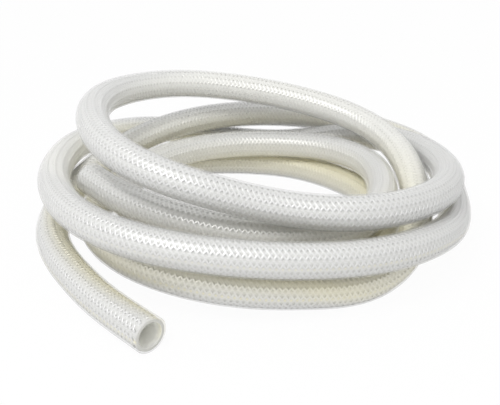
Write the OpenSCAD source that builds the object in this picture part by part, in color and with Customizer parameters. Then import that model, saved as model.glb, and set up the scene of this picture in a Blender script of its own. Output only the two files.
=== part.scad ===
// Coil of braid-reinforced silicone tubing, lying flat, both ends plain cut.
// One length of tube is swept along the whole route of the coil, with a straight
// stretch at each cut end where a fitting goes in. Millimetres, +Z up, the floor
// at z = 0 and the middle of the coil's box over the origin. -Y is the front.

/* [Tube] */
// Inside diameter of the tube
bore = 19; // [12:0.5:24]
// Thickness of the tube wall, with the braid inside it
wall = 4; // [2.5:0.25:5]
// Length of the straight stretch at each cut end
end_straight = 30; // [20:1:45]

/* [Coil] */
// Mean radius of the coil, to the middle of the tube
coil_radius = 140; // [115:1:180]
// Least space between two turns that lie side by side
turn_gap = 0.3; // [0.2:0.1:3]

/* [Hidden] */

tube_od = bore + 2 * wall;
pitch = tube_od + turn_gap;

// The way that the tube lies, at eight stations a turn. Each station is
// [step outwards from the mean radius, height above a tube on the floor],
// and both are counted in pitches, so turns that are one apart just clear.
// In a turn they stand at the front left, front, front right, right,
// back right, back, back left and left.
// Inner end, held up inside the coil at the left
LEAD_IN = [[0.25, 1.85]];
// Each turn starts at the front left
TURNS = [
    // Inner turn, resting on the one below it
    [[-1, 1.6], [-1.6, 1.25], [-1.55, 1.05], [-1.4, 1.05],
     [-0.75, 1.05], [-0.65, 0.95], [-0.5, 0.95], [-0.75, 1.05]],
    // Floor turn, which opens out towards the back
    [[-1.3, 0.55], [-1.6, 0.1], [-1.5, 0.05], [-1.2, 0],
     [-0.85, 0], [-0.15, 0], [0.3, 0.2], [0.2, 0.5]],
    // Turn that climbs from the floor at the front to the top at the back
    [[0.2, 0.65], [-0.3, 0.3], [-0.3, 0.05], [-0.35, 1.05],
     [0.15, 1.95], [0.05, 2.75], [0.6, 3.3], [0.1, 3.6]],
    // Top turn, which crosses the front and drops away at the right
    [[-0.4, 3.2], [-1.3, 2.3], [-0.3, 2], [0.6, 1.6],
     [1.1, 1.2], [0.95, 0.45], [2.4, 1.15], [1.45, 1.7]],
    // Outer turn, which swings wide at the back and comes down to the floor
    [[0.9, 1.8], [0.1, 1.45], [0.4, 1.1], [0.95, 0.5],
     [2.25, 0.95], [1.3, 1.5], [0.8, 1.4], [1.5, 0.35]]
];
// Outer end, on the floor at the front
LEAD_OUT = [[1.4, 0.05], [2.4, 0]];

STATIONS = [each LEAD_IN, for (turn = TURNS) each turn, each LEAD_OUT];
STATION_STEP = 45;
FIRST_STATION = -180;

// Angles at which the bent part of the tube starts and stops, where 0 is the right
BEND_START = -160;
BEND_STOP = 1677;

// Rings along the bent part, and flat sides round the tube and round its bore
RINGS = 184;
SIDES = 20;
BORE_SIDES = 12;

// Each straight end reaches this far back over the bent part, whose wall is there
// this much thinner on each face, so that it sits wholly within the end's wall
OVERLAP = 1;
INSET = 0.3;
END_FN = 96;

// Value number i of a list, held at the first and last value past its ends
function held(list, i) = list[min(max(i, 0), len(list) - 1)];

// Smooth curve from b to c at t from 0 to 1, between two parabolas that also
// pass through the neighbours a and d, so that the bend has no sudden change
function between(a, b, c, d, t) =
    let (
        before = b + (c - a) / 2 * t + (a - 2 * b + c) / 2 * t * t,
        s = t - 1,
        after = c + (d - b) / 2 * s + (b - 2 * c + d) / 2 * s * s,
        share = t * t * (3 - 2 * t)
    )
    before * (1 - share) + after * share;

// Radius and height of the tube's centreline at an angle
function lay(angle) =
    let (
        u = (angle - FIRST_STATION) / STATION_STEP,
        i = floor(u),
        place = between(
            held(STATIONS, i - 1), held(STATIONS, i),
            held(STATIONS, i + 1), held(STATIONS, i + 2), u - i
        )
    )
    [coil_radius + pitch * place[0], tube_od / 2 + pitch * max(place[1], 0)];

function centre(angle) =
    let (rz = lay(angle))
    [rz[0] * cos(angle), rz[0] * sin(angle), rz[1]];

function unit(v) = v / norm(v);

// Direction of the centreline at an angle
LOOK = 0.5;
function heading(angle) = unit(centre(angle + LOOK) - centre(angle - LOOK));

RING_ANGLES = [
    for (i = [0 : RINGS]) BEND_START + (BEND_STOP - BEND_START) * i / RINGS
];
BEND = [for (angle = RING_ANGLES) centre(angle)];
HEADINGS = [for (angle = RING_ANGLES) heading(angle)];

// Both straight ends leave along the tangent, from a root just inside the bent part
inner_way = -HEADINGS[0];
outer_way = HEADINGS[RINGS];
inner_root = BEND[0] - OVERLAP * inner_way;
outer_root = BEND[RINGS] - OVERLAP * outer_way;

// Middle of the coil's box, seen from above
ROUTE = concat(
    [inner_root + end_straight * inner_way], BEND,
    [outer_root + end_straight * outer_way]
);
ROUTE_WAYS = concat([inner_way], HEADINGS, [outer_way]);

// Half the width of the tube's round section along an axis
function reach(way, axis) = tube_od / 2 * sqrt(1 - pow(way[axis], 2));

function middle_along(axis) =
    let (
        lows = [for (i = [0 : len(ROUTE) - 1]) ROUTE[i][axis] - reach(ROUTE_WAYS[i], axis)],
        highs = [for (i = [0 : len(ROUTE) - 1]) ROUTE[i][axis] + reach(ROUTE_WAYS[i], axis)]
    )
    (min(lows) + max(highs)) / 2;

middle = [middle_along(0), middle_along(1), 0];

// One ring of points square to a heading, with its first point level
function ring(at, way, radius, sides) =
    let (
        level = unit(cross(way, [0, 0, 1])),
        upward = cross(level, way)
    )
    [for (k = [0 : sides - 1])
        at + radius * (cos(360 * k / sides) * level + sin(360 * k / sides) * upward)];

// Four-cornered faces of a skin with the given sides, whose points start at first
function skin(first, sides, rings) = [
    for (j = [0 : rings - 2], k = [0 : sides - 1])
        let (here = first + j * sides, next = (k + 1) % sides)
        [here + k, here + next, here + sides + next, here + sides + k]
];

function flipped(faces) = [
    for (face = faces) [for (k = [len(face) - 1 : -1 : 0]) face[k]]
];

// Triangles that close the wall at a cut, between its outer and its bore ring
function cut_face(outer_first, bore_first) =
    let (total = SIDES + BORE_SIDES)
    [for (step = [0 : total - 1])
        let (
            outer = round(step * SIDES / total),
            inner = step - outer,
            outer_next = round((step + 1) * SIDES / total),
            a = outer_first + outer % SIDES,
            b = bore_first + inner % BORE_SIDES
        )
        outer_next > outer
            ? [a, b, outer_first + (outer + 1) % SIDES]
            : [a, b, bore_first + (inner + 1) % BORE_SIDES]
    ];

// Tube swept through the given points, facing along the given headings, with
// its wall thinner on each face by the inset given for each ring
module swept_tube(points, ways, insets) {
    rings = len(points);
    bore_first = rings * SIDES;
    outer_points = [
        for (j = [0 : rings - 1])
            each ring(points[j], ways[j], tube_od / 2 - insets[j], SIDES)
    ];
    bore_points = [
        for (j = [0 : rings - 1])
            each ring(points[j], ways[j], (bore / 2 + insets[j]) / cos(180 / BORE_SIDES), BORE_SIDES)
    ];
    last_outer = (rings - 1) * SIDES;
    last_bore = bore_first + (rings - 1) * BORE_SIDES;
    polyhedron(
        points = concat(outer_points, bore_points),
        faces = concat(
            skin(0, SIDES, rings),
            flipped(skin(bore_first, BORE_SIDES, rings)),
            cut_face(0, bore_first),
            flipped(cut_face(last_outer, last_bore))
        )
    );
}

// Straight cut end of the tube, from its root along its way, truly round in and out
module cut_end(root, way) {
    lean = acos(way[2]);
    turn = atan2(way[1], way[0]);
    translate(root)
        rotate([0, lean, turn])
            difference() {
                cylinder(h = end_straight, d = tube_od, $fn = END_FN);
                translate([0, 0, -OVERLAP])
                    cylinder(h = end_straight + 2 * OVERLAP, d = bore, $fn = END_FN);
            }
}

module tubing() {
    color([0.88, 0.89, 0.84, 0.8])
        translate(-middle) {
            swept_tube(BEND, HEADINGS, [for (j = [0 : RINGS]) j == 0 || j == RINGS ? INSET : 0]);
            cut_end(inner_root, inner_way);
            cut_end(outer_root, outer_way);
        }
}

tubing();
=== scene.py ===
import math

import bpy
import numpy as np
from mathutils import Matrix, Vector


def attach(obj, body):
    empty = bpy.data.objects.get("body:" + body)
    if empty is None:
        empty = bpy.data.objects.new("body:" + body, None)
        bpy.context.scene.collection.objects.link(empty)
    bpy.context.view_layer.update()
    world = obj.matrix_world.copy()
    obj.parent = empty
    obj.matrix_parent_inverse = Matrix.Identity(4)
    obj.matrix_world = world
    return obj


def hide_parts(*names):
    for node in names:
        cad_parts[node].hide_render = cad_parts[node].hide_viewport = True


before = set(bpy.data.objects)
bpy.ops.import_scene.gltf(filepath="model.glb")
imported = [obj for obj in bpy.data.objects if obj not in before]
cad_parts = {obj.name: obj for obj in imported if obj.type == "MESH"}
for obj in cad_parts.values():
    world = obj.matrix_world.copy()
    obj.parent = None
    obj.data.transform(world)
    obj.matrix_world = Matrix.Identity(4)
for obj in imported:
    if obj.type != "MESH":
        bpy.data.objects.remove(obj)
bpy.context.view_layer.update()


# Camera
# It stands in front of the coil, a good arm's length off, and looks down on it the way
# someone at a bench does, so that the turns open into ovals and the near cut end shows.
CAMERA_AIM = Vector((-0.00775, -0.00408, 0.030))
CAMERA_DISTANCE = 0.634
CAMERA_ELEVATION = math.radians(25)
CAMERA_LENS = 52.2
CAMERA_SENSOR = 36

camera_data = bpy.data.cameras.new("camera")
camera_data.lens = CAMERA_LENS
camera_data.sensor_width = CAMERA_SENSOR
camera = bpy.data.objects.new("camera", camera_data)
camera.location = CAMERA_AIM + CAMERA_DISTANCE * Vector(
    (0, -math.cos(CAMERA_ELEVATION), math.sin(CAMERA_ELEVATION))
)
camera.rotation_euler = (math.pi / 2 - CAMERA_ELEVATION, 0, 0)
bpy.context.scene.collection.objects.link(camera)
bpy.context.scene.camera = camera


# Tube
# One length of extruded silicone tube, wound loosely by hand into a coil that lies flat.
# Its stiffness lets the turns climb over each other and swing wide, and the two cut ends
# stay straight for a little, as they came off the cutter.
BORE = 0.019
WALL = 0.004
TUBE_OD = BORE + 2 * WALL
COIL_RADIUS = 0.140
TURN_GAP = 0.0003
PITCH = TUBE_OD + TURN_GAP
END_STRAIGHT = 0.030
END_OVERLAP = 0.001

# Eight stations a turn, from the front left and round by the right, each with its step
# outwards from the mean radius and its height above a tube on the floor, in pitches.
LEAD_IN = [[0.25, 1.85]]
TURNS = [
    # Inner turn, resting on the one below it
    [[-1, 1.6], [-1.6, 1.25], [-1.55, 1.05], [-1.4, 1.05],
     [-0.75, 1.05], [-0.65, 0.95], [-0.5, 0.95], [-0.75, 1.05]],
    # Floor turn, which opens out towards the back
    [[-1.3, 0.55], [-1.6, 0.1], [-1.5, 0.05], [-1.2, 0],
     [-0.85, 0], [-0.15, 0], [0.3, 0.2], [0.2, 0.5]],
    # Turn that climbs from the floor at the front to the top at the back
    [[0.2, 0.65], [-0.3, 0.3], [-0.3, 0.05], [-0.35, 1.05],
     [0.15, 1.95], [0.05, 2.75], [0.6, 3.3], [0.1, 3.6]],
    # Top turn, which crosses the front and drops away at the right
    [[-0.4, 3.2], [-1.3, 2.3], [-0.3, 2], [0.6, 1.6],
     [1.1, 1.2], [0.95, 0.45], [2.4, 1.15], [1.45, 1.7]],
    # Outer turn, which swings wide at the back and comes down to the floor
    [[0.9, 1.8], [0.1, 1.45], [0.4, 1.1], [0.95, 0.5],
     [2.25, 0.95], [1.3, 1.5], [0.8, 1.4], [1.5, 0.35]],
]
LEAD_OUT = [[1.4, 0.05], [2.4, 0]]
STATIONS = np.array(LEAD_IN + [place for turn in TURNS for place in turn] + LEAD_OUT)

# Degrees round the coil, where 0 is the right: from one station to the next, at the first
# one, at both ends of the bent part, and to each side of a place to find its heading
STATION_STEP = 45
FIRST_STATION = -180
BEND_START = -160
BEND_STOP = 1677
LOOK = 0.5

# Steps along the bent part, in the tube's own meshes and in a coarser path that is worked
# out but not used. The bend is about this many straight ends long, and each end has steps
# to match, though no fewer than the least.
ROUTE_STEPS = 920
CORD_STEPS = 230
STRAIGHTS_IN_BEND = 150
LEAST_STRAIGHT_STEPS = 3


def station(i):
    """Station i, or the first or last one past the ends."""
    return STATIONS[np.clip(i, 0, len(STATIONS) - 1)]


def centreline(angles):
    """Points of the tube's middle at these angles, before the coil is put over the origin.
    Each lies between two parabolas, through the stations on either side of it."""
    u = (angles - FIRST_STATION) / STATION_STEP
    i = np.floor(u).astype(int)
    t = (u - i)[:, None]
    a, b, c, d = (station(i + k) for k in (-1, 0, 1, 2))
    s = t - 1
    before = b + (c - a) / 2 * t + (a - 2 * b + c) / 2 * t * t
    after = c + (d - b) / 2 * s + (b - 2 * c + d) / 2 * s * s
    share = t * t * (3 - 2 * t)
    step, height = (before * (1 - share) + after * share).T
    radius = COIL_RADIUS + PITCH * step
    turn = np.radians(angles)
    z = TUBE_OD / 2 + PITCH * np.maximum(height, 0)
    return np.stack([radius * np.cos(turn), radius * np.sin(turn), z], axis=1)


def unit(vectors):
    return vectors / np.linalg.norm(vectors, axis=-1, keepdims=True)


def route(steps):
    """The whole route from the inner cut end to the outer one, in that many steps round the
    bend, with the middle of the coil's box over the origin."""
    angles = np.linspace(BEND_START, BEND_STOP, steps + 1)
    bend = centreline(angles)
    ways = unit(centreline(angles + LOOK) - centreline(angles - LOOK))
    straight = END_STRAIGHT - END_OVERLAP
    straight_steps = max(LEAST_STRAIGHT_STEPS, steps // STRAIGHTS_IN_BEND)
    ahead = np.linspace(0, straight, straight_steps + 1)[1:, None]
    inner = bend[0] - ways[0] * ahead[::-1]
    outer = bend[-1] + ways[-1] * ahead
    points = np.concatenate([inner, bend, outer])
    reach = TUBE_OD / 2 * np.sqrt(1 - np.concatenate([[ways[0]], ways, [ways[-1]]]) ** 2)
    extremes = np.concatenate([[inner[0]], bend, [outer[-1]]])
    middle = ((extremes - reach).min(axis=0) + (extremes + reach).max(axis=0)) / 2
    middle[2] = 0
    return points - middle


def length_of(points):
    return float(np.linalg.norm(np.diff(points, axis=0), axis=1).sum())


ROUTE = route(ROUTE_STEPS)
TUBE_LENGTH = length_of(ROUTE)

# Places along the route, and round it, where the shelter that the turns give each other is
# taken, and how far off a turn is when it counts half as much as its size alone would
SHELTER_STEPS = 460
SHELTER_SIDES = 24
SHELTER_REACH = 0.15
# How fast shelter builds up, and how much its weak places are held back
SHELTER_STRENGTH = 3.9
SHELTER_CONTRAST = 1.8
# A place counts this much at the floor, 1 less at each such height, and this at least
FLOOR_SHELTER = 1.5
SHELTER_HEIGHT = 0.070
HIGH_SHELTER = 0.08
# It counts less and less over this last stretch out to the coil's rim, and this at least
RIM_RADIUS = 0.205
RIM_FADE = 0.040
RIM_SHELTER = 0.2
# It counts this share more where it faces the coil's middle, and less where it faces away
INWARD_SHELTER = 0.5


def shelter_table():
    """The share of the light that other turns take from the tube's skin, from 0 in the open
    to 1 between two turns that touch. Each turn counts as a row of balls."""
    middles = route(SHELTER_STEPS)
    ways = unit(np.gradient(middles, axis=0))
    level = unit(np.cross(ways, [0, 0, 1]))
    upward = np.cross(level, ways)
    around = np.arange(SHELTER_SIDES) / SHELTER_SIDES * math.tau
    outward = (
        level[:, None] * np.cos(around)[None, :, None]
        + upward[:, None] * np.sin(around)[None, :, None]
    )
    skin = middles[:, None] + outward * TUBE_OD / 2
    spacing = length_of(middles) / len(middles)
    hidden = np.zeros(skin.shape[:2])
    for ball in middles:
        gap = ball - skin
        far = np.linalg.norm(gap, axis=-1)
        facing = np.maximum((outward * gap).sum(axis=-1) / far, 0)
        near = 1 / (1 + (far / SHELTER_REACH) ** 2)
        # A ball's strip of tube counts as its share of a square, twice as wide as it is far off
        hidden += TUBE_OD * spacing * near * facing / (2 * far) ** 2
    low = np.clip(FLOOR_SHELTER - skin[..., 2] / SHELTER_HEIGHT, HIGH_SHELTER, FLOOR_SHELTER)
    from_middle = np.linalg.norm(skin[..., :2], axis=-1)
    within = np.clip((RIM_RADIUS - from_middle) / RIM_FADE, RIM_SHELTER, 1)
    inward = -(outward[..., :2] * unit(skin[..., :2])).sum(axis=-1)
    counted = hidden * low * within * (1 + INWARD_SHELTER * inward)
    return (1 - np.exp(-SHELTER_STRENGTH * counted)) ** SHELTER_CONTRAST


SHELTER = shelter_table()


def shelter_at(along, around):
    """The shelter at each place along the tube and round it, between the table's own places."""
    u = np.clip(along / TUBE_LENGTH, 0, 1) * (len(SHELTER) - 1)
    v = around / math.tau % 1 * SHELTER_SIDES
    i = np.minimum(u.astype(int), len(SHELTER) - 2)
    j = v.astype(int) % SHELTER_SIDES
    s = u - i
    t = v - np.floor(v)
    after = (j + 1) % SHELTER_SIDES
    here = SHELTER[i, j] * (1 - t) + SHELTER[i, after] * t
    ahead = SHELTER[i + 1, j] * (1 - t) + SHELTER[i + 1, after] * t
    return here * (1 - s) + ahead * s


class Wire:
    """A socket of a node tree, to reckon with: an expression on it adds the Math nodes."""

    def __init__(self, tree, socket=None):
        self.tree = tree
        self.socket = socket

    def node(self, kind, settings=None, inputs=None, output=0):
        """Any other node: its settings come first, then the values or links of its sockets,
        by name or number."""
        made = self.tree.nodes.new(kind)
        for name, value in (settings or {}).items():
            setattr(made, name, value)
        for name, value in (inputs or {}).items():
            if isinstance(value, Wire):
                self.tree.links.new(value.socket, made.inputs[name])
            else:
                made.inputs[name].default_value = value
        return Wire(self.tree, made.outputs[output]) if len(made.outputs) else None

    def sibling(self, name):
        """Another output of the same node."""
        return Wire(self.tree, self.socket.node.outputs[name])

    def maths(self, operation, *others):
        """A Math node on this and other values, or a Vector Math node if any is a vector."""
        values = (self, *others)
        vector = [isinstance(v, Wire) and v.socket.type == "VECTOR" for v in values]
        if not any(vector):
            return self.node("ShaderNodeMath", {"operation": operation}, dict(enumerate(values)))
        if operation == "MULTIPLY" and not all(vector):
            along, by = values if vector[0] else values[::-1]
            return self.node(
                "ShaderNodeVectorMath", {"operation": "SCALE"}, {"Vector": along, "Scale": by}
            )
        return self.node("ShaderNodeVectorMath", {"operation": operation}, dict(enumerate(values)))

    def __add__(self, other):
        return self.maths("ADD", other)

    def __radd__(self, other):
        return self.maths("ADD", other)

    def __sub__(self, other):
        return self.maths("SUBTRACT", other)

    def __rsub__(self, other):
        return (self * -1).maths("ADD", other)

    def __mul__(self, other):
        return self.maths("MULTIPLY", other)

    def __rmul__(self, other):
        return self.maths("MULTIPLY", other)

    def __truediv__(self, other):
        return self.maths("DIVIDE", other)

    def __mod__(self, other):
        return self.maths("FLOORED_MODULO", other)

    def __pow__(self, other):
        return self.maths("POWER", other)

    def floor(self):
        return self.maths("FLOOR")

    def sin(self):
        return self.maths("SINE")

    def cos(self):
        return self.maths("COSINE")

    def cross(self, other):
        return self.maths("CROSS_PRODUCT", other)

    def unit(self):
        return self.maths("NORMALIZE")

    def clamp(self):
        return self.node("ShaderNodeClamp", inputs={"Value": self})

    def tint(self, low, high):
        """The colour between two others at this share."""
        low, high = (c if isinstance(c, Wire) else (*c, 1) for c in (low, high))
        # A Mix node's colours are its inputs 6 and 7 and its output 2
        return self.node(
            "ShaderNodeMix", {"data_type": "RGBA"}, {"Factor": self, 6: low, 7: high}, output=2
        )


def shape_tree(name, numbers, material):
    """A new Geometry Nodes tree with the route coming in, and these numbers as named inputs.
    Returns the tree, its inputs by name, and a function that ends it."""
    tree = bpy.data.node_groups.new(name, "GeometryNodeTree")
    tree.interface.new_socket("Route", in_out="INPUT", socket_type="NodeSocketGeometry")
    for label, value in numbers.items():
        kind = "NodeSocketInt" if isinstance(value, int) else "NodeSocketFloat"
        tree.interface.new_socket(label, in_out="INPUT", socket_type=kind)
    tree.interface.new_socket("Shape", in_out="OUTPUT", socket_type="NodeSocketGeometry")
    entry = Wire(tree).node("NodeGroupInput")
    inputs = {label: entry.sibling(label) for label in ("Route", *numbers)}

    def end(shape):
        real = shape.node("GeometryNodeRealizeInstances", inputs={"Geometry": shape})
        coated = real.node(
            "GeometryNodeSetMaterial", inputs={"Geometry": real, "Material": material}
        )
        coated.node("NodeGroupOutput", inputs={"Shape": coated})

    return tree, inputs, end


# The bore is painted near white, a painted glow for the light that comes in through the
# wall, which reaches its full strength over this length from a cut, and the cut's edge is
# rounded off this much
BORE_FADE = 0.0015
LIP = 0.0003


def grow(name, tree, numbers):
    """Runs a shape tree along the route with these numbers, and keeps its result as a plain
    mesh that knows its shelter, its bore and its cuts."""
    curve = bpy.data.curves.new(name + "_route", "CURVE")
    curve.dimensions = "3D"
    curve.twist_mode = "Z_UP"
    line = curve.splines.new("POLY")
    line.points.add(len(ROUTE) - 1)
    line.points.foreach_set("co", np.append(ROUTE, np.ones((len(ROUTE), 1)), axis=1).ravel())
    guide = bpy.data.objects.new(name + "_route", curve)
    bpy.context.scene.collection.objects.link(guide)
    nodes = guide.modifiers.new("shape", "NODES")
    nodes.node_group = tree
    for item in tree.interface.items_tree:
        if item.in_out == "INPUT" and item.name in numbers:
            nodes[item.identifier] = numbers[item.name]
    evaluated = guide.evaluated_get(bpy.context.evaluated_depsgraph_get())
    mesh = bpy.data.meshes.new_from_object(evaluated)
    guide.modifiers.remove(nodes)
    bpy.data.objects.remove(guide)
    bpy.data.curves.remove(curve)
    mesh.name = name
    lie = np.empty(len(mesh.vertices) * 3, dtype=np.float32)
    mesh.attributes["lie"].data.foreach_get("vector", lie)
    along, around, back = lie.reshape(-1, 3).T
    from_cut = np.minimum(along, TUBE_LENGTH - along)
    # The shelter and the bore share carry the painted light and shade into the colours
    facts = {
        "shelter": shelter_at(along, around),
        "bore": back * np.clip(from_cut / BORE_FADE, 0, 1),
        "cut": np.clip(1 - from_cut / LIP, 0, 1),
    }
    for label, values in facts.items():
        attribute = mesh.attributes.new(label, "FLOAT", "POINT")
        attribute.data.foreach_set("value", values.astype(np.float32))
    piece = bpy.data.objects.new(name, mesh)
    bpy.context.scene.collection.objects.link(piece)
    return piece


def on_route(wire, curve, along, around, radius):
    """Where the tube's round section has this radius, so far along the route and so far around,
    with the way outwards there and the way along the tube."""
    place = wire.node(
        "GeometryNodeSampleCurve",
        {"mode": "LENGTH", "use_all_curves": True},
        {"Curves": curve, "Length": along},
        output="Position",
    )
    forward = place.sibling("Tangent").unit()
    level = forward.cross((0, 0, 1)).unit()
    upward = level.cross(forward)
    outward = level * around.cos() + upward * around.sin()
    return place + outward * radius, outward, forward


# A row's number is worked out by division, and this keeps it from falling short of itself
NUDGE = 1e-4
# Half a step parts two whole numbers, or puts a point midway between its neighbours
HALF = 0.5
# Points no further apart than this are one point
SAME_PLACE = 1e-6


def laid_skin(grid, along, around, back, place):
    """The grid moved to its place, closed where its edges meet and smooth, with where each
    point lies along the tube, round it and in the bore kept on it."""
    lie = grid.node("ShaderNodeCombineXYZ", inputs={"X": along, "Y": around, "Z": back})
    marked = grid.node(
        "GeometryNodeStoreNamedAttribute",
        {"data_type": "FLOAT_VECTOR", "domain": "POINT"},
        {"Geometry": grid, "Name": "lie", "Value": lie},
    )
    moved = marked.node("GeometryNodeSetPosition", inputs={"Geometry": marked, "Position": place})
    merged = moved.node(
        "GeometryNodeMergeByDistance", inputs={"Geometry": moved, "Distance": SAME_PLACE}
    )
    return merged.node("GeometryNodeSetShadeSmooth", inputs={"Geometry": merged})


# Steps in which each cut edge is rounded off
LIP_RINGS = 2


def wall_tree(numbers, material):
    """A hollow round wall along the route, closed at both cuts. Its section is a loop that runs
    out along the outside, over the cut, back along the bore and over the other cut."""
    tree, inputs, end = shape_tree("wall", numbers, material)
    start = Wire(tree)
    rings = inputs["Rings"]
    sides = inputs["Sides"]
    loop = rings * 2
    grid = start.node(
        "GeometryNodeMeshGrid", inputs={"Vertices X": loop + 1, "Vertices Y": sides + 1}
    )
    index = start.node("GeometryNodeInputIndex")
    row = (index / (sides + 1) + NUDGE).floor()
    around = (index - row * (sides + 1)) / sides * math.tau
    step = row % loop
    back = step.maths("GREATER_THAN", rings - HALF)
    share = step * (1 - back) + (loop - 1 - step) * back
    # The rings nearest each cut make its rounded lip, and the rest are evenly spaced
    rest = rings - (2 * LIP_RINGS + 1)
    from_end = share.maths("MINIMUM", rings - 1 - share)
    lip = inputs["Lip"]
    inset = lip * (1 - from_end / LIP_RINGS).maths("MAXIMUM", 0) ** 2
    even = (share - LIP_RINGS) / rest
    late = share.maths("GREATER_THAN", (rings - 1) / 2)
    near = from_end * lip / LIP_RINGS
    middle = lip + even * (inputs["Length"] - lip * 2)
    at_lip = from_end.maths("LESS_THAN", LIP_RINGS)
    along = (near * (1 - late) + (inputs["Length"] - near) * late) * at_lip + middle * (1 - at_lip)
    radius = (inputs["Outside"] - inset) * (1 - back) + (inputs["Bore"] + inset) * back
    place, *_ = on_route(start, inputs["Route"], along, around, radius)
    end(laid_skin(grid, along, around, back, place))
    return tree


def known(tree, label):
    """What the piece knows of each point under this label."""
    return Wire(tree).node("ShaderNodeAttribute", {"attribute_name": label}, output="Fac")


# The near-floor colour, a painted yellow shade of the low turns, comes in below this height,
# over this depth
LOW_PAINTED_SHADE_TOP = 0.070
LOW_PAINTED_SHADE_DEPTH = 0.045


def shelter_painted_colour(tree, colours):
    """One colour in the open and painted light and shade where the turns shut light in, high up
    and on the floor. Those are paler, a painted glow for the light that silicone passes on,
    and yellower, a painted tint of that light."""
    place = Wire(tree).node("ShaderNodeTexCoord", output="Object")
    height = place.node("ShaderNodeSeparateXYZ", inputs={"Vector": place}, output="Z")
    low = ((LOW_PAINTED_SHADE_TOP - height) / LOW_PAINTED_SHADE_DEPTH).clamp()
    painted_deep = low.tint(colours["between turns"], colours["near floor"])
    return known(tree, "shelter").tint(colours["open"], painted_deep)


def shelter_painted_material(name, colours, gloss):
    """A material with these colours: its own in the open, painted light and shade between turns
    and near the floor, painted light in the bore and a colour at a cut if it has them, and
    with these settings of its shader."""
    made = bpy.data.materials.new(name)
    made.use_nodes = True
    tree = made.node_tree
    shader = tree.nodes["Principled BSDF"]
    colour = shelter_painted_colour(tree, colours)
    for label in ("bore", "cut"):
        if label in colours:
            colour = known(tree, label).tint(colour, colours[label])
    tree.links.new(colour.socket, shader.inputs["Base Color"])
    for setting, value in gloss.items():
        shader.inputs[setting].default_value = value
    return made


# Its own colour in the open; the paler, yellower colours between turns and near the floor are
# painted light and shade, and the near-white bore is painted light from through the wall
CORE_COLOURS = {
    "open": (0.62, 0.62, 0.60),
    "between turns": (0.78, 0.777, 0.75),
    "near floor": (0.83, 0.795, 0.61),
    "bore": (0.98, 0.98, 0.93),
    "cut": (0.58, 0.58, 0.54),
}
core_material = shelter_painted_material("milky_silicone", CORE_COLOURS, {"Roughness": 0.45})

# The milky core reaches halfway through the braid, which is pressed into it
CORE_OUTSIDE = 0.0120
WALL_RINGS = 930
WALL_SIDES = 32
wall_numbers = {
    "Rings": WALL_RINGS,
    "Sides": WALL_SIDES,
    "Length": TUBE_LENGTH,
    "Outside": CORE_OUTSIDE,
    "Bore": BORE / 2,
    "Lip": LIP,
}
tube = grow("tubing_wall", wall_tree(wall_numbers, core_material), wall_numbers)
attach(tube, "root")
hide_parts("tubing")


# Braid
# Polyester yarn, braided over the inner layer before the outer one goes on. Half the yarns
# wind one way and half the other, and each passes over and under the ones it meets in turn.
YARNS_EACH_WAY = 12
# A mesh holds this many of them, to keep its weight down
YARNS_A_PIECE = 6
BRAID_ANGLE = math.radians(56.4)
BRAID_RADIUS = CORE_OUTSIDE
LAY_LENGTH = math.tau * BRAID_RADIUS / math.tan(BRAID_ANGLE)
CROSSING = LAY_LENGTH / (2 * YARNS_EACH_WAY)
CROSSINGS = int(TUBE_LENGTH / CROSSING) - 1
YARN_WIDTH = 0.0022
YARN_THICKNESS = 0.0007
YARN_CORNERS = 6
# How far a yarn steps out where it passes over, and in where it passes under
WEAVE = 0.00035


def braid_tree(numbers, material):
    """Some of the yarns that wind one way. Each is a flattened strand with a flat top, whose
    rows stand at the places where it meets the yarns that wind the other way."""
    tree, inputs, end = shape_tree("braid", numbers, material)
    start = Wire(tree)
    rows = inputs["Crossings"]
    columns = YARN_CORNERS + 1
    grid = start.node(
        "GeometryNodeMeshGrid",
        inputs={"Vertices X": rows * inputs["Yarns"], "Vertices Y": columns},
    )
    # The faces after a yarn's last row would join it to the next yarn
    face_row = (start.node("GeometryNodeInputIndex") / YARN_CORNERS + NUDGE).floor()
    strips = grid.node(
        "GeometryNodeDeleteGeometry",
        {"domain": "FACE", "mode": "ONLY_FACE"},
        {"Geometry": grid, "Selection": (face_row % rows).maths("GREATER_THAN", rows - 1 - HALF)},
    )
    index = start.node("GeometryNodeInputIndex")
    row = (index / columns + NUDGE).floor()
    column = index - row * columns
    yarn = (row / rows + NUDGE).floor()
    crossing = row - yarn * rows
    corner = (column + HALF) / YARN_CORNERS * math.tau
    over = 1 - ((crossing + inputs["Parity"]) % 2) * 2
    along = (crossing + HALF) * inputs["Crossing length"]
    turn = along / inputs["Lay length"] * inputs["Way"]
    around = (turn + (yarn + inputs["First yarn"]) / inputs["Yarns each way"]) * math.tau
    raised = corner.cos() * inputs["Thickness"] / 2
    radius = inputs["Radius"] + over * inputs["Weave"] + raised
    place, outward, forward = on_route(start, inputs["Route"], along, around, radius)
    sideways = outward.cross(forward)
    slope = inputs["Radius"] / inputs["Lay length"] * inputs["Way"] * math.tau
    along_yarn = (forward + sideways * slope).unit()
    edge = outward.cross(along_yarn)
    spread = corner.sin() * inputs["Width"] / 2
    end(laid_skin(strips, along, around, 0, place + edge * spread))
    return tree


# Its own colour in the open; the paler, yellower colours between turns and near the floor are
# painted light and shade
YARN_COLOURS = {
    "open": (0.72, 0.72, 0.71),
    "between turns": (0.82, 0.817, 0.785),
    "near floor": (0.86, 0.825, 0.65),
    "cut": (0.62, 0.62, 0.58),
}
# Drawn polyester has a silky gleam along its filaments, which a part of metal stands for
yarn_material = shelter_painted_material(
    "polyester_yarn", YARN_COLOURS, {"Roughness": 0.33, "Metallic": 0.4, "Specular IOR Level": 1.0}
)

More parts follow.
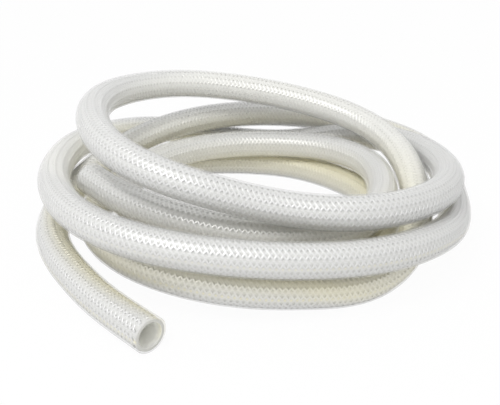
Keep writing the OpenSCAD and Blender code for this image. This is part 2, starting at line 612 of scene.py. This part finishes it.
braid_numbers = {
    "Crossings": CROSSINGS,
    "Yarns": YARNS_A_PIECE,
    "First yarn": 0,
    "Yarns each way": YARNS_EACH_WAY,
    "Parity": 0,
    "Way": 1.0,
    "Crossing length": CROSSING,
    "Lay length": LAY_LENGTH,
    "Radius": BRAID_RADIUS,
    "Width": YARN_WIDTH,
    "Thickness": YARN_THICKNESS,
    "Weave": WEAVE,
}
braid = braid_tree(braid_numbers, yarn_material)
for side, way, parity in (("right", 1.0, 0), ("left", -1.0, 1)):
    for first in range(0, YARNS_EACH_WAY, YARNS_A_PIECE):
        numbers = {**braid_numbers, "Way": way, "First yarn": first, "Parity": parity}
        yarns = grow(f"braid_{side}_{first}", braid, numbers)
        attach(yarns, "root")


# Cover
# A thin clear layer of silicone over the braid, which gives the tube its smooth wet-looking
# skin. It is a little milky, so it greys towards its edges, where it is looked through sidelong.
# Its milk's own colour in the open; the paler, yellower colours between turns and near the floor
# are painted light and shade
COVER_COLOURS = {
    "open": (0.70, 0.70, 0.70),
    "between turns": (0.82, 0.817, 0.785),
    "near floor": (0.85, 0.82, 0.66),
}
# Its share of milk where it is looked at head on, and what it gains towards the edges: how
# much, from where on, and over how much more, with head on as 0 and sidelong as 1
HAZE_HEAD_ON = 0.12
HAZE_GAINS = [(0.12, 0.30, 0.40), (0.4, 0.75, 0.25)]

cover_material = bpy.data.materials.new("clear_silicone")
cover_material.use_nodes = True
cover_material.node_tree.nodes.clear()
cover = Wire(cover_material.node_tree)
facing = cover.node("ShaderNodeLayerWeight", inputs={"Blend": 0.5}, output="Facing")
clear = cover.node("ShaderNodeBsdfTransparent", inputs={"Color": (1, 1, 1, 1)})
milk = cover.node(
    "ShaderNodeBsdfPrincipled",
    inputs={
        "Base Color": shelter_painted_colour(cover_material.node_tree, COVER_COLOURS),
        "Roughness": 0.22,
        "Specular IOR Level": 0.5,
    },
)
haze = HAZE_HEAD_ON
for gain, turned, span in HAZE_GAINS:
    haze = haze + gain * ((facing - turned) / span).clamp()
skin = cover.node("ShaderNodeMixShader", inputs={0: haze, 1: clear, 2: milk})
skin.node("ShaderNodeOutputMaterial", inputs={"Surface": skin})

# It starts this much inside the core, so that nothing is left open between them
COVER_OVERLAP = 0.0001
cover_numbers = {**wall_numbers, "Outside": TUBE_OD / 2, "Bore": CORE_OUTSIDE - COVER_OVERLAP}
cover_piece = grow("clear_cover", wall_tree(cover_numbers, cover_material), cover_numbers)
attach(cover_piece, "root")

# The route is worked out once more in the coarser steps, and the result is not kept
route(CORD_STEPS)


# Floor and light
# A plain white floor that runs out of sight, in even light from all round. A small soft lamp
# above the front left gives the skin its bright bands, and a wide faint one fills the front.
FLOOR_HALF = 6.0
FLOOR_COLOUR = (0.80, 0.80, 0.80, 1)
WHITE = (1, 1, 1, 1)
# The floor is seen as white with only this share of its shading left
FLOOR_SHADING = 0.04
LIGHT_AROUND = 0.92
BACKDROP_LIGHT = 1.0

floor_mesh = bpy.data.meshes.new("floor")
floor_mesh.from_pydata(
    [(x * FLOOR_HALF, y * FLOOR_HALF, 0) for x, y in ((-1, -1), (1, -1), (1, 1), (-1, 1))],
    [],
    [(0, 1, 2, 3)],
)
floor = bpy.data.objects.new("floor", floor_mesh)
bpy.context.scene.collection.objects.link(floor)


def looked_at(wire):
    """1 for a ray that comes from the camera, straight or by a gloss or glass, and 0 for light."""
    ray = wire.node("ShaderNodeLightPath", output="Is Camera Ray")
    gloss = ray.sibling("Is Glossy Ray")
    glass = ray.sibling("Is Transmission Ray")
    return ray.maths("MAXIMUM", gloss.maths("MAXIMUM", glass))


floor_material = bpy.data.materials.new("white_floor")
floor_material.use_nodes = True
floor_material.node_tree.nodes.clear()
ground = Wire(floor_material.node_tree)
paper = ground.node("ShaderNodeBsdfDiffuse", inputs={"Color": FLOOR_COLOUR})
white = ground.node("ShaderNodeEmission", inputs={"Color": WHITE, "Strength": BACKDROP_LIGHT})
whitened = looked_at(ground) * (1 - FLOOR_SHADING)
shown = ground.node("ShaderNodeMixShader", inputs={0: whitened, 1: paper, 2: white})
ground.node("ShaderNodeOutputMaterial", inputs={"Surface": shown})
floor_mesh.materials.append(floor_material)

world = bpy.data.worlds.new("studio")
world.use_nodes = True
world.node_tree.nodes.clear()
bpy.context.scene.world = world
sky = Wire(world.node_tree)
light = sky.node("ShaderNodeBackground", inputs={"Color": WHITE, "Strength": LIGHT_AROUND})
backdrop = sky.node("ShaderNodeBackground", inputs={"Color": WHITE, "Strength": BACKDROP_LIGHT})
both = sky.node("ShaderNodeMixShader", inputs={0: looked_at(sky), 1: light, 2: backdrop})
sky.node("ShaderNodeOutputWorld", inputs={"Surface": both})


def soft_lamp(name, place, width, height, power):
    """A rectangle of light at this place, in metres and watts, turned to the coil."""
    data = bpy.data.lights.new(name, "AREA")
    data.shape = "RECTANGLE"
    data.size = width
    data.size_y = height
    data.energy = power
    lamp = bpy.data.objects.new(name, data)
    lamp.location = place
    lamp.rotation_euler = (-lamp.location).to_track_quat("-Z", "Y").to_euler()
    bpy.context.scene.collection.objects.link(lamp)


soft_lamp("overhead", (-0.30, -0.50, 0.85), width=0.36, height=0.26, power=3.3)
soft_lamp("front_fill", (-0.45, -1.0, 0.65), width=1.0, height=0.7, power=1.0)

bpy.context.scene.view_settings.view_transform = "Standard"
